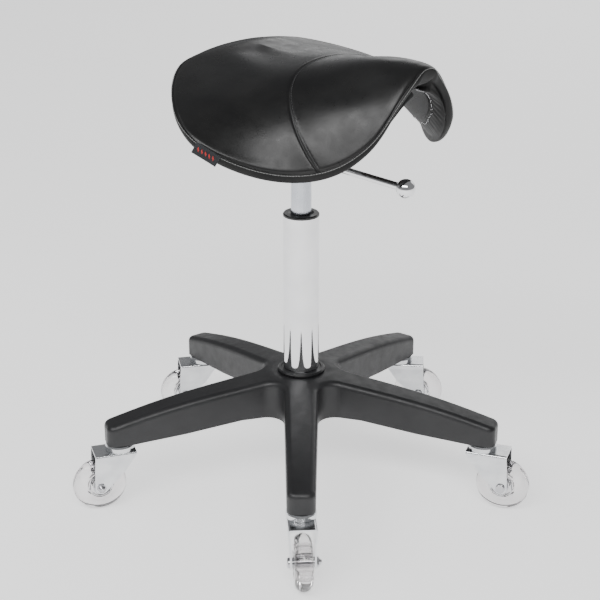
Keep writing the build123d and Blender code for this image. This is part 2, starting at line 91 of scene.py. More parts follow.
# Swelling of the cover over its foam: how far the pad starts below its final surface,
# the most it may swell, and how much of the wrinkling a glued cover keeps
CLOTH_PRESSURE = 4.0
CLOTH_FRAMES = 20
START_INSET = 2.2
SWELL_CAP = 4.5
SMOOTH_SPOKES = 9.0
WRINKLE_SHARE = 0.04
SEWN_WIDTH = 4.0

# Side band and the edge's wrap: outward and downward offsets from the perimeter seam.
# The band stands more upright than the surface, so the pad hangs lower as far in as HANG_END.
BAND = [
    (0.2, 0.9), (0.9, 1.8), (1.4, 3.2), (1.6, 5.2), (1.5, 7.4),
    (1.0, 9.6), (0.0, 11.8), (-1.6, 13.7), (-3.8, 15.0), (-6.4, 15.7),
]
BAND_UPRIGHT = 0.75
HANG_END = 60.0
WRAP_INSETS = [9.5, 13.0, 17.0, 21.5, 26.5, 32.0, 37.0, 43.0]
STAPLE_INSET = 32.5
DUST_INSET = 38.0
DUST_HOLE = 83.0

# Label tab: its centre, its two directions and its size
TAB_CENTRE = (35.1, -212.5, 538.8)
TAB_ALONG, TAB_DOWN = (0.768, 0.421, -0.484), (-0.4025, -0.271, -0.8744)
TAB_WIDE, TAB_TALL, TAB_HALF_THICKNESS = 34.0, 14.5, 0.55
TAB_BARS = 5


def station_table():
    """Fine table of the saddle's sections: cubic through the rows, then lightly smoothed."""
    xs = np.arange(SADDLE[0, 0], SADDLE[-1, 0] + 1e-6, 0.5)
    last = len(SADDLE) - 1
    values = np.zeros((len(xs), 4))
    for n, x in enumerate(xs):
        i = min(int(np.searchsorted(SADDLE[1:, 0], x)), last - 1)
        x0, x1 = SADDLE[i, 0], SADDLE[i + 1, 0]
        y0, y1 = SADDLE[i, 1:], SADDLE[i + 1, 1:]
        u = (x - x0) / (x1 - x0)
        slope = (y1 - y0) / (x1 - x0)
        before = slope if i == 0 else (y1 - SADDLE[i - 1, 1:]) / (x1 - SADDLE[i - 1, 0])
        after = slope if i == last - 1 else (SADDLE[i + 2, 1:] - y0) / (SADDLE[i + 2, 0] - x0)
        before, after = before * (x1 - x0), after * (x1 - x0)
        values[n] = (
            (2 * u**3 - 3 * u**2 + 1) * y0 + (u**3 - 2 * u**2 + u) * before
            + (3 * u**2 - 2 * u**3) * y1 + (u**3 - u**2) * after
        )
    sigma = np.clip(0.3 * np.minimum(xs - xs[0], xs[-1] - xs), 0.2, 9.0)
    weight = np.exp(-0.5 * ((xs[:, None] - xs[None, :]) / sigma[:, None]) ** 2)
    return xs, (weight / weight.sum(1, keepdims=True)) @ values


STATIONS, SECTION = station_table()


def section(x):
    """Half width, edge height, crest height and thickness at stations x."""
    return [np.interp(x, STATIONS, SECTION[:, k]) for k in range(4)]


def height(x, y):
    """Height of the saddle's top surface."""
    half, edge, crest, _ = section(x)
    return edge + (crest - edge) * (1 - np.abs(y / half) ** POWER)


def normal(x, y):
    """Unit normal of the top surface."""
    step = 0.6
    fx = (height(x + step, y) - height(x - step, y)) / (2 * step)
    fy = (height(x, y + step) - height(x, y - step)) / (2 * step)
    n = np.stack([-fx, -fy, np.ones_like(fx)], -1)
    return n / np.linalg.norm(n, axis=-1, keepdims=True)


def shell(x, y):
    """Thickness of the pad, measured along the normal."""
    half, _, _, thick = section(x)
    across = 1 - np.clip(np.abs(y / half), 0, 1) ** POWER
    return thick * SHELL_DEPTH * (EDGE_THICKNESS + (1 - EDGE_THICKNESS) * across)


def smooth_ring(values, sigma):
    """Gaussian smoothing of rows that run round a closed ring; sigma is in rows."""
    reach = int(4 * sigma) + 1
    kernel = np.exp(-0.5 * (np.arange(-reach, reach + 1) / sigma) ** 2)
    kernel /= kernel.sum()
    padded = np.concatenate([values[-reach:], values, values[:reach]])
    return np.stack([np.convolve(padded[:, k], kernel, "valid") for k in range(values.shape[1])], -1)


def resample_ring(points, count):
    """Evenly spaced points round a closed ring."""
    closed = np.vstack([points, points[:1]])
    run = np.concatenate([[0], np.cumsum(np.linalg.norm(np.diff(closed, axis=0), axis=1))])
    at = np.linspace(0, run[-1], count, endpoint=False)
    return np.stack([np.interp(at, run, closed[:, k]) for k in range(points.shape[1])], -1)


def outline(count):
    """The perimeter seam in plan and height, from the rear round the +y side."""
    half = SECTION[:, 0]
    rear = [(STATIONS[0], y) for y in np.linspace(0, half[0], 40)[:-1]]
    side = list(zip(STATIONS, half))
    front = [(STATIONS[-1], y) for y in np.linspace(half[-1], 0, 14)[1:]]
    plan = np.array(rear + side + front)
    plan = np.vstack([plan, plan[-2:0:-1] * (1, -1)])
    for sigma in (5.0, 3.0):
        ring = np.column_stack([plan, height(plan[:, 0], plan[:, 1])])
        ring = resample_ring(ring, 2400)
        plan = smooth_ring(ring[:, :2], sigma / 0.55)
    ring = np.column_stack([plan, height(plan[:, 0], plan[:, 1])])
    ring = resample_ring(ring, count)
    ring[:, 2] = height(ring[:, 0], ring[:, 1])
    return ring


def spokes(ring):
    """Plan points and run lengths from each perimeter point in to the saddle's spine."""
    count = len(ring)
    share = np.arange(count) / count * 2
    share = np.where(share > 1, 2 - share, share)
    share = 0.85 * share + 0.15 * (1 - np.cos(np.pi * share)) / 2
    spine = np.stack([SPINE_REAR + (SPINE_FRONT - SPINE_REAR) * share, np.zeros(count)], -1)
    rho = np.linspace(0, 1, 161)
    plan = ring[:, None, :2] + rho[None, :, None] * (spine - ring[:, :2])[:, None, :]
    z = height(plan[..., 0], plan[..., 1])
    steps = np.linalg.norm(np.diff(np.concatenate([plan, z[..., None]], -1), axis=1), axis=-1)
    run = np.concatenate([np.zeros((count, 1)), np.cumsum(steps, 1)], 1)
    return plan, run


def along_spokes(plan, run, distance):
    """Plan points at a distance from the seam, one on each spoke."""
    distance = np.broadcast_to(distance, (len(run),))
    points = np.zeros((len(run), 2))
    for k in range(len(run)):
        for axis in (0, 1):
            points[k, axis] = np.interp(distance[k], run[k], plan[k, :, axis])
    return points


RING = outline(AROUND)
PLAN, RUN = spokes(RING)
LENGTH = RUN[:, -1]
RING_NORMAL = smooth_ring(normal(RING[:, 0], RING[:, 1]), 2.0)
RING_NORMAL /= np.linalg.norm(RING_NORMAL, axis=1, keepdims=True)
RING_TANGENT = np.roll(RING, -1, 0) - np.roll(RING, 1, 0)
RING_TANGENT /= np.linalg.norm(RING_TANGENT, axis=1, keepdims=True)
RING_UP = (1 - BAND_UPRIGHT) * RING_NORMAL + BAND_UPRIGHT * np.array([0.0, 0.0, 1.0])
RING_UP /= np.linalg.norm(RING_UP, axis=1, keepdims=True)
RING_OUT = np.cross(RING_TANGENT, RING_UP)
RING_OUT *= np.sign((RING_OUT[:, :2] * (RING[:, :2] - (40, 0))).sum(1, keepdims=True))
RING_OUT = smooth_ring(RING_OUT, 2.0)
RING_OUT /= np.linalg.norm(RING_OUT, axis=1, keepdims=True)


def seam_curve(count=900):
    """The cross seam on the top surface: plan points from one edge to the other."""
    t = np.linspace(-1, 1, count)
    x = SEAM_START + SEAM_SWEEP * np.abs(t) ** SEAM_POWER
    half = section(x)[0]
    return np.stack([x, t * half, height(x, t * half)], -1)


SEAM = seam_curve()


def seam_distance(points):
    """Signed distance in space from points on the top surface to the cross seam, + in front."""
    out = np.zeros(len(points))
    for start in range(0, len(points), 4000):
        part = points[start:start + 4000]
        gap = np.linalg.norm(part[:, None, :] - SEAM[None, :, :], axis=-1)
        out[start:start + 4000] = gap.min(1)
    half = section(points[:, 0])[0]
    line = SEAM_START + SEAM_SWEEP * np.clip(np.abs(points[:, 1] / half), 0, 1) ** SEAM_POWER
    return out * np.sign(points[:, 0] - line)


def seat_matrix():
    """Saddle axes in millimetres to the frame, found from the lever's direction."""
    low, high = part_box("gas_cylinder")
    axis = (low + high) / 2
    low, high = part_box("lever_knob")
    knob = (low + high) / 2 - axis
    turn = Matrix.Rotation(math.atan2(knob.y, knob.x) + SADDLE_TURN, 4, "Z")
    return Matrix.Translation((axis.x, axis.y, 0)) @ turn @ Matrix.Scale(MM, 4)


SEAT = seat_matrix()


# ------------------------------------------------------------------ mesh helpers
def new_object(name, verts, faces, matrix=None):
    """A mesh object with smooth faces, its place baked into its vertices."""
    mesh = bpy.data.meshes.new(name)
    mesh.from_pydata([tuple(v) for v in verts], [], [tuple(f) for f in faces])
    if matrix is not None:
        mesh.transform(matrix)
    mesh.validate()
    mesh.shade_smooth()
    obj = bpy.data.objects.new(name, mesh)
    bpy.context.scene.collection.objects.link(obj)
    return obj


def bridge(a, b):
    """Quads between two closed rings of vertex numbers."""
    count = len(a)
    return [(a[k], a[(k + 1) % count], b[(k + 1) % count], b[k]) for k in range(count)]


class Soup:
    """Collects vertices and faces of many small parts of one piece."""

    def __init__(self):
        self.verts = []
        self.faces = []

    def tube(self, points, radii, side, sides=6):
        """A closed tube through points, with a reference direction for its section."""
        points = np.asarray(points, float)
        base = len(self.verts)
        count = len(points)
        for k in range(count):
            ahead = points[min(k + 1, count - 1)] - points[max(k - 1, 0)]
            ahead /= np.linalg.norm(ahead)
            u = side - ahead * np.dot(side, ahead)
            u /= np.linalg.norm(u)
            v = np.cross(ahead, u)
            for n in range(sides):
                angle = 2 * math.pi * n / sides
                spot = points[k] + radii[k] * (math.cos(angle) * u + math.sin(angle) * v)
                self.verts.append(spot)
        rings = [[base + k * sides + n for n in range(sides)] for k in range(count)]
        for a, b in zip(rings, rings[1:]):
            self.faces += bridge(a, b)
        self.faces.append(rings[0][::-1])
        self.faces.append(rings[-1])

    def object(self, name, matrix=None):
        return new_object(name, self.verts, self.faces, matrix)


# ------------------------------------------------------------------ cloth
def swelling(rings, pinned):
    """How far the cover swells along its normal when the foam pushes it out between its seams.

    rings is an array (ring, spoke, xyz) in millimetres; pinned marks sewn vertices."""
    count, around = rings.shape[:2]
    ids = np.arange(count * around).reshape(count, around)
    for k in range(around // 2 + 1, around):
        ids[-1, k] = ids[-1, around - k]
    faces = [f for a, b in zip(ids, ids[1:]) for f in bridge(list(a), list(b))]
    flat = rings.reshape(-1, 3)
    obj = new_object("cover_blank", flat * MM, faces)
    used = np.unique(ids)
    group = obj.vertex_groups.new(name="sewn")
    group.add([int(i) for i in used if pinned.reshape(-1)[i]], 1.0, "ADD")
    cloth = obj.modifiers.new("cloth", "CLOTH")
    settings = cloth.settings
    settings.quality = 6
    settings.mass = 0.4
    settings.tension_stiffness = 60
    settings.compression_stiffness = 60
    settings.shear_stiffness = 20
    settings.bending_stiffness = 6
    settings.use_pressure = True
    settings.uniform_pressure_force = CLOTH_PRESSURE
    settings.shrink_min = -0.006
    settings.vertex_group_mass = "sewn"
    settings.effector_weights.gravity = 0
    cloth.collision_settings.use_collision = False
    scene = bpy.context.scene
    for number in range(1, CLOTH_FRAMES + 1):
        scene.frame_set(number)
    evaluated = obj.evaluated_get(bpy.context.evaluated_depsgraph_get())
    moved = np.zeros(len(evaluated.data.vertices) * 3)
    evaluated.data.vertices.foreach_get("co", moved)
    moved = moved.reshape(-1, 3) / MM
    scene.frame_set(1)
    bpy.data.objects.remove(obj)
    n = normal(flat[:, 0], flat[:, 1])
    if len(moved) != len(flat):
        return np.zeros((count, around))
    out = ((moved - flat) * n).sum(1).reshape(count, around)
    out[-1] = out.reshape(-1)[ids[-1]]
    print("cover swells, mm: mean", round(float(out.mean()), 2), "max", round(float(out.max()), 2))
    return out


def taut(swell):
    """The swelling with its wrinkles drawn out: a glued cover is stretched smooth on its foam."""
    kernel = np.exp(-0.5 * (np.arange(-9, 10) / 3.0) ** 2)
    kernel /= kernel.sum()
    smooth = smooth_ring(swell.T, SMOOTH_SPOKES).T
    padded = np.vstack([-smooth[9:0:-1], smooth, smooth[-2:-11:-1]])
    smooth = np.stack([np.convolve(padded[:, k], kernel, "valid") for k in range(swell.shape[1])], -1)
    return smooth + WRINKLE_SHARE * (swell - smooth)


def swell_field(rings):
    """Swelling on the full ring grid, from the cloth simulation."""
    count, around = rings.shape[:2]
    seam = np.abs(seam_distance(rings.reshape(-1, 3))).reshape(count, around)
    rows = [0] + list(range(5, count))
    columns = np.arange(0, around, 2)
    coarse = rings[rows][:, columns]
    pinned = np.zeros(coarse.shape[:2], bool)
    pinned[0] = True
    pinned |= seam[rows][:, columns] < SEWN_WIDTH
    swell = swelling(coarse, pinned)
    swell = SWELL_CAP * np.tanh(taut(swell) / SWELL_CAP)
    both = np.zeros((len(rows), around))
    both[:, columns] = swell
    both[:, columns + 1] = (swell + np.roll(swell, -1, 1)) / 2
    full = np.zeros((count, around))
    full[rows] = both
    for k in range(1, 5):
        full[k] = both[1] * EDGE_RINGS[k] / EDGE_RINGS[5]
    return full


# ------------------------------------------------------------------ the padded saddle
def top_rings():
    """Points of the top surface, ring by ring from the seam to the spine, and their run from the seam."""
    distances = []
    for d in EDGE_RINGS:
        distances.append(np.full(AROUND, d))
    for k in range(1, UNIFORM_RINGS + 1):
        distances.append(EDGE_RINGS[-1] + (LENGTH - EDGE_RINGS[-1]) * k / UNIFORM_RINGS)
    rings = np.zeros((len(distances), AROUND, 3))
    for k, d in enumerate(distances):
        plan = along_spokes(PLAN, RUN, d)
        rings[k, :, :2] = plan
        rings[k, :, 2] = height(plan[:, 0], plan[:, 1])
    return rings, np.array(distances)


def edge_share():
    """Height of the side band against its full height, one value per spoke."""
    share = shell(RING[:, 0], RING[:, 1])[:, None] / (FULL_THICKNESS * SHELL_DEPTH * EDGE_THICKNESS)
    return np.maximum(share, 0.92)


def underside_ring(inset, depth_share=1.0):
    """A ring on the pad's inner face, at an inset from the edge.

    Near the edge it hangs lower, because the side band is more upright than the surface."""
    plan = along_spokes(PLAN, RUN, np.minimum(inset, LENGTH))
    top = np.column_stack([plan, height(plan[:, 0], plan[:, 1])])
    n = normal(plan[:, 0], plan[:, 1])
    ring = top - n * (shell(plan[:, 0], plan[:, 1]) * depth_share)[:, None]
    near = np.clip((HANG_END - np.broadcast_to(inset, (AROUND,))) / (HANG_END - WRAP_INSETS[0]), 0, 1)
    near = near * near * (3 - 2 * near)
    hang = (RING_NORMAL - RING_UP) * BAND[-1][1] * edge_share()
    return ring + hang * near[:, None], n


def fold_pattern():
    """Height of the gathered folds round the wrapped edge, one value per spoke."""
    turn = np.linalg.norm(np.roll(RING_TANGENT, -6, 0) - np.roll(RING_TANGENT, 6, 0), axis=1)
    turn = smooth_ring(turn[:, None], 6.0)[:, 0]
    share = np.clip(turn / turn.max() * 1.6, 0.12, 1.0)
    folds = np.zeros(AROUND)
    at = 0.0
    while at < AROUND:
        at += RNG.uniform(3.5, 9.0)
        width = RNG.uniform(1.1, 2.0)
        tall = RNG.uniform(0.5, 1.7)
        gap = (np.arange(AROUND) - at + AROUND / 2) % AROUND - AROUND / 2
        folds += tall * np.exp(-((gap / width) ** 2))
    return folds * share


def build_cushion(leather, edge_leather):
    """The whole upholstered pad: crowned panels, side band, wrapped edge and closed underside."""
    rings, distances = top_rings()
    swell = swell_field(rings)
    verts = [tuple(p) for ring in rings[:-1] for p in ring]
    last = len(verts)
    half = AROUND // 2
    verts += [tuple(p) for p in rings[-1][:half + 1]]
    ids = [[r * AROUND + k for k in range(AROUND)] for r in range(len(rings) - 1)]
    ids.append([last + min(k, AROUND - k) for k in range(AROUND)])
    faces = [f for a, b in zip(ids, ids[1:]) for f in bridge(b, a)]
    edge = list(distances[:-1].reshape(-1)) + list(distances[-1][:half + 1])
    rise = list(swell[:-1].reshape(-1)) + list(swell[-1][:half + 1])
    top_count = len(verts)

    thick = edge_share()
    below = [ids[0]]
    for out, down in BAND:
        ring = RING + RING_OUT * out - RING_UP * (down * np.where(down > 5, thick, 1))
        below.append(list(range(len(verts), len(verts) + AROUND)))
        verts += [tuple(p) for p in ring]
    folds = fold_pattern()
    for inset in WRAP_INSETS:
        ring, n = underside_ring(inset)
        ramp = min(max((inset - 10) / 14, 0), 1)
        ring = ring - n * (folds * ramp)[:, None]
        below.append(list(range(len(verts), len(verts) + AROUND)))
        verts += [tuple(p) for p in ring]
    for inset, share in ((43.6, 0.97), (44.0, 0.93)):
        ring, n = underside_ring(inset, share)
        below.append(list(range(len(verts), len(verts) + AROUND)))
        verts += [tuple(p) for p in ring]
    for k in range(1, 13):
        inset = 44.0 + (LENGTH - 44.0) * k / 12
        ring, n = underside_ring(inset, 0.93)
        if k < 12:
            below.append(list(range(len(verts), len(verts) + AROUND)))
            verts += [tuple(p) for p in ring]
        else:
            start = len(verts)
            below.append([start + min(i, AROUND - i) for i in range(AROUND)])
            verts += [tuple(p) for p in ring[:half + 1]]
    faces += [f for a, b in zip(below, below[1:]) for f in bridge(a, b)]
    edge += [-1.0] * (len(verts) - top_count)
    rise += [0.0] * (len(verts) - top_count)

    mesh = bpy.data.meshes.new("saddle_cushion")
    panels = [f for f in faces if len(set(f)) == len(f)]
    mesh.from_pydata(verts, [], panels)
    low = [int(max(f) >= top_count + 3 * AROUND) for f in panels]
    mesh.polygons.foreach_set("material_index", low)
    mesh.attributes.new("run", "FLOAT", "POINT").data.foreach_set("value", np.array(edge, np.float32))
    mesh.attributes.new("rise", "FLOAT", "POINT").data.foreach_set("value", np.array(rise, np.float32))
    bm = bmesh.new()
    bm.from_mesh(mesh)
    run = bm.verts.layers.float["run"]
    points = np.array([v.co for v in bm.verts])
    near = np.abs(seam_distance(points)) < 6.5
    chosen = [
        e for e in bm.edges
        if e.verts[0][run] >= 0 and e.verts[1][run] >= 0
        and (near[e.verts[0].index] or near[e.verts[1].index])
    ]
    chosen = [e for e in chosen if e.calc_length() > 1.3]
    bmesh.ops.subdivide_edges(bm, edges=chosen, cuts=3, use_grid_fill=True)
    bmesh.ops.recalc_face_normals(bm, faces=bm.faces)
    bm.to_mesh(mesh)
    bm.free()

    count = len(mesh.vertices)
    co = np.zeros(count * 3)
    run_now = np.zeros(count)
    rise_now = np.zeros(count)
    mesh.vertices.foreach_get("co", co)
    mesh.attributes["run"].data.foreach_get("value", run_now)
    mesh.attributes["rise"].data.foreach_get("value", rise_now)
    co = co.reshape(-1, 3)
    top = run_now >= -1e-6
    part = co[top]
    part[:, 2] = height(part[:, 0], part[:, 1])
    gap = seam_distance(part)
    reach = run_now[top]
    calm = 1 - 0.8 * np.exp(-((gap / 18) ** 2))
    lift = rise_now[top] - START_INSET * (1 - np.exp(-reach / 25)) * calm
    lift -= PERIMETER_LINE * np.exp(-((reach / 2.2) ** 2)) + PERIMETER_DIP * np.exp(-reach / 8)
    fade = np.clip(reach / 3, 0, 1)
    lift -= CROSS_LINE * np.exp(-((gap / 1.25) ** 2)) + CROSS_DIP * np.exp(-np.abs(gap) / 6) * fade
    lift -= TOPSTITCH_DIP * np.exp(-(((gap - TOPSTITCH) / 0.8) ** 2)) * fade
    part += normal(part[:, 0], part[:, 1]) * lift[:, None]
    co[top] = part
    mesh.vertices.foreach_set("co", co.reshape(-1))
    mesh.attributes.remove(mesh.attributes["run"])
    mesh.attributes.remove(mesh.attributes["rise"])
    mesh.transform(SEAT)
    mesh.shade_smooth()
    mesh.materials.append(leather)
    mesh.materials.append(edge_leather)
    obj = bpy.data.objects.new("saddle_cushion", mesh)
    bpy.context.scene.collection.objects.link(obj)
    return obj


def stitch_run(soup, path, normals, pitch, length, radius, lift):
    """Stitches at even pitch along a path; each is a short thread that dives in at its ends."""
    run = np.concatenate([[0], np.cumsum(np.linalg.norm(np.diff(path, axis=0), axis=1))])
    at = 0.5 * pitch
    while at < run[-1] - 0.5 * pitch:
        spots = at + np.array([-0.5, -0.34, 0.0, 0.34, 0.5]) * length
        points = np.stack([np.interp(spots, run, path[:, k]) for k in range(3)], -1)
        up = np.array([np.interp(at, run, normals[:, k]) for k in range(3)])
        rise = np.array([-0.55, 0.75, 1.0, 0.75, -0.55]) * radius + lift
        radii = radius * np.array([0.6, 0.95, 1.0, 0.95, 0.6])
        soup.tube(points + up * rise[:, None], radii, up)
        at += pitch


def perimeter_stitches(thread):
    """The pale thread in the side band just under the perimeter seam."""
    soup = Soup()
    path = RING + RING_OUT * 1.15 - RING_UP * 2.1
    facing = RING_OUT * 0.9 + RING_UP * 0.45
    path = np.vstack([path, path[:1]])
    facing = np.vstack([facing, facing[:1]])
    stitch_run(soup, path, facing, 3.6, 3.1, 0.3, 0.1)
    obj = soup.object("perimeter_stitching", SEAT)
    obj.data.materials.append(thread)
    return obj


def cross_stitches(thread):
    """The dark topstitching on the front panel, beside the cross seam."""
    soup = Soup()
    along = np.gradient(SEAM, axis=0)
    along /= np.linalg.norm(along, axis=1, keepdims=True)
    n = normal(SEAM[:, 0], SEAM[:, 1])
    ahead = np.cross(along, n)
    ahead *= np.sign(ahead[:, :1])
    path = (SEAM + ahead * TOPSTITCH)[8:-8]
    path[:, 2] = height(path[:, 0], path[:, 1])
    stitch_run(soup, path, n[8:-8], 3.8, 3.2, 0.36, -1.0)
    obj = soup.object("cross_seam_stitching", SEAT)
    obj.data.materials.append(thread)
    return obj


def staple_row(steel):
    """Wire staples round the wrapped edge, each a little out of line with the next."""
    soup = Soup()
    ring, n = underside_ring(STAPLE_INSET)
    step = 6
    for k in range(0, AROUND, step):
        out = -n[k]
        along = ring[(k + 2) % AROUND] - ring[k - 2]
        along /= np.linalg.norm(along)
        across = np.cross(out, along)
        turn = RNG.uniform(-0.45, 0.45)
        along = along * math.cos(turn) + across * math.sin(turn)
        spot = ring[k] + out * 1.0 + across * RNG.uniform(-1.2, 1.2)
        legs = [(3.4, -2.2), (3.4, -0.2), (3.1, 0.4), (1.5, 0.55)]
        shape = [(-a, b) for a, b in legs] + legs[::-1]
        points = [spot + along * a + out * b for a, b in shape]
        soup.tube(points, [0.38] * len(points), across)
    obj = soup.object("staple_row", SEAT)
    obj.data.materials.append(steel)
    return obj


def dust_cover(cloth):
    """Thin cloth over the opening under the pad, with a hole for the mounting block."""
    span = 14
    grid = np.zeros((span + 1, AROUND, 3))
    far = np.zeros(AROUND)
    for k in range(AROUND):
        radius = np.linalg.norm(PLAN[k], axis=1)
        inside = np.nonzero(radius < DUST_HOLE)[0]
        far[k] = RUN[k, inside[0]] if len(inside) else LENGTH[k]
    far = np.maximum(far, DUST_INSET + 1.0)
    for r in range(span + 1):
        ring, n = underside_ring(DUST_INSET + (far - DUST_INSET) * r / span, 1.0)
        sag = 1.1 + 0.9 * math.sin(math.pi * r / span)
        grid[r] = ring - n * sag
    faces = []
    for r in range(span):
        for k in range(AROUND):
            a, b = r * AROUND + k, r * AROUND + (k + 1) % AROUND
            faces.append((a, b, b + AROUND, a + AROUND))
    obj = new_object("dust_cover", grid.reshape(-1, 3), faces, SEAT)
    bm = bmesh.new()
    bm.from_mesh(obj.data)
    bmesh.ops.remove_doubles(bm, verts=bm.verts, dist=0.0002)
    bmesh.ops.recalc_face_normals(bm, faces=bm.faces)
    bm.to_mesh(obj.data)
    bm.free()
    obj.data.shade_smooth()
    solid = obj.modifiers.new("thickness", "SOLIDIFY")
    solid.thickness = 0.0006
    solid.offset = 0
    obj.data.materials.append(cloth)
    return obj


def label_parts(cloth, thread):
    """A folded woven tab that hangs from the seam, and its small plain embroidered bars."""
    along = np.array(TAB_ALONG)
    down = np.array(TAB_DOWN)
    along /= np.linalg.norm(along)
    down -= along * along.dot(down)
    down /= np.linalg.norm(down)
    out = np.cross(along, down)
    if out[1] > 0:
        out = -out
    centre = np.array(TAB_CENTRE)

    def spot(a, b, lift):
        low = b / TAB_TALL + 0.5
        curl = 2.2 * max(a / TAB_WIDE, 0) ** 2 * low + 0.8 * low ** 2
        return centre + along * a + down * b + out * (curl + lift)

    columns, rows = 28, 12
    verts, faces = [], []
    for lift in (TAB_HALF_THICKNESS, -TAB_HALF_THICKNESS):
        for r in range(rows + 1):
            for c in range(columns + 1):
                a = TAB_WIDE * (c / columns - 0.5)
                b = TAB_TALL * (r / rows - 0.5)
                verts.append(spot(a, b, lift))
    layer = (rows + 1) * (columns + 1)
    for r in range(rows):
        for c in range(columns):
            a = r * (columns + 1) + c
            quad = (a, a + 1, a + columns + 2, a + columns + 1)
            faces.append(quad)
            faces.append(tuple(layer + i for i in reversed(quad)))
    border = list(range(columns + 1))
    border += [r * (columns + 1) + columns for r in range(1, rows + 1)]
    border += [rows * (columns + 1) + c for c in range(columns - 1, -1, -1)]
    border += [r * (columns + 1) for r in range(rows - 1, 0, -1)]
    for a, b in zip(border, border[1:] + border[:1]):
        faces.append((b, a, layer + a, layer + b))
    tab = new_object("label_tab_woven", verts, faces, SEAT)
    bm = bmesh.new()
    bm.from_mesh(tab.data)
    bmesh.ops.recalc_face_normals(bm, faces=bm.faces)
    bm.to_mesh(tab.data)
    bm.free()
    tab.data.shade_smooth()
    tab.data.materials.append(cloth)
    soup = Soup()
    for k in range(TAB_BARS):
        a = -11.0 + 5.2 * k
        for n in range(7):
            b = -2.6 + 0.75 * n
            lean = 0.35 * (n - 3)
            wide_here = 1.5 - 0.35 * abs(n - 3)
            points = [
                spot(a + lean + wide_here * u, b, 0.62 + 0.25 * (1 - u * u))
                for u in (-1, -0.4, 0.4, 1)
            ]
            soup.tube(points, [0.25, 0.42, 0.42, 0.25], out)
    marks = soup.object("label_embroidery", SEAT)
    marks.data.materials.append(thread)
    return tab, marks


# ------------------------------------------------------------------ materials
class Shader:
    """A Principled material that is built node by node in object coordinates."""

    def __init__(self, name, colour, roughness, metallic=0.0, **fixed):
        self.material = bpy.data.materials.new(name)
        self.material.use_nodes = True
        self.tree = self.material.node_tree
        self.bsdf = self.tree.nodes["Principled BSDF"]
        self.bsdf.inputs["Base Color"].default_value = (*colour, 1)
        self.bsdf.inputs["Roughness"].default_value = roughness
        self.bsdf.inputs["Metallic"].default_value = metallic
        for key, value in fixed.items():
            self.bsdf.inputs[key.replace("_", " ")].default_value = value
        self.place = self.tree.nodes.new("ShaderNodeTexCoord").outputs["Object"]
        self.bump = None

    def node(self, kind, **values):
        made = self.tree.nodes.new(kind)
        for key, value in values.items():
            setattr(made, key, value)
        return made

    def stretched(self, scale):
        mapping = self.node("ShaderNodeMapping")
        mapping.inputs["Scale"].default_value = scale
        self.tree.links.new(self.place, mapping.inputs["Vector"])
        return mapping.outputs["Vector"]

    def noise(self, scale, detail=4.0, rough=0.55, vector=None):
        made = self.node("ShaderNodeTexNoise")
        made.inputs["Scale"].default_value = scale
        made.inputs["Detail"].default_value = detail
        made.inputs["Roughness"].default_value = rough
        self.tree.links.new(vector or self.place, made.inputs["Vector"])
        return made.outputs["Fac"]

    def cells(self, scale, feature="F1", randomness=1.0):
        made = self.node("ShaderNodeTexVoronoi", feature=feature)
        made.inputs["Scale"].default_value = scale
        made.inputs["Randomness"].default_value = randomness
        self.tree.links.new(self.place, made.inputs["Vector"])
        return made.outputs["Distance"]

    def span(self, source, low, high, low_in=0.3, high_in=0.7):
        made = self.node("ShaderNodeMapRange")
        self.tree.links.new(source, made.inputs["Value"])
        made.inputs["From Min"].default_value = low_in
        made.inputs["From Max"].default_value = high_in
        made.inputs["To Min"].default_value = low
        made.inputs["To Max"].default_value = high
        return made.outputs["Result"]

    def vary_colour(self, source, first, second, low_in=0.35, high_in=0.65):
        made = self.node("ShaderNodeMix", data_type="RGBA")
        self.tree.links.new(self.span(source, 0, 1, low_in, high_in), made.inputs["Factor"])
        for socket in made.inputs:
            if socket.type == "RGBA":
                socket.default_value = (*(first if socket.identifier.startswith("A") else second), 1)
        out = [s for s in made.outputs if s.type == "RGBA"][0]
        self.tree.links.new(out, self.bsdf.inputs["Base Color"])
        return self

    def vary_roughness(self, source, low, high):
        self.tree.links.new(self.span(source, low, high), self.bsdf.inputs["Roughness"])
        return self

    def raise_by(self, source, distance, strength=1.0):
        made = self.node("ShaderNodeBump")
        made.inputs["Distance"].default_value = distance
        made.inputs["Strength"].default_value = strength
        self.tree.links.new(source, made.inputs["Height"])
        if self.bump is not None:
            self.tree.links.new(self.bump, made.inputs["Normal"])
        self.bump = made.outputs["Normal"]
        self.tree.links.new(self.bump, self.bsdf.inputs["Normal"])
        return self


def leather_material(name, level, rough):
    s = Shader(name, (0.012, 0.012, 0.012), rough[0], Specular_IOR_Level=level)
    s.vary_colour(s.noise(14, 3), (0.0075, 0.0075, 0.0078), (0.015, 0.0148, 0.0145))
    s.vary_roughness(s.noise(60, 6, 0.65), *rough)
    s.raise_by(s.noise(160, 3, 0.5), 0.00012, 0.4)
    s.raise_by(s.noise(900, 2, 0.5), 0.00006, 0.5)
    s.raise_by(s.noise(2400, 2, 0.5), 0.00003, 0.3)
    return s.material


def thread_material(name, first, second):
    s = Shader(name, first, 0.55, Sheen_Weight=0.2)
    s.vary_colour(s.noise(900, 3), first, second)
    s.vary_roughness(s.noise(1500, 2), 0.45, 0.7)
    s.raise_by(s.noise(3200, 2, vector=s.stretched((1.0, 1.0, 0.4))), 0.0001, 0.8)
    return s.material


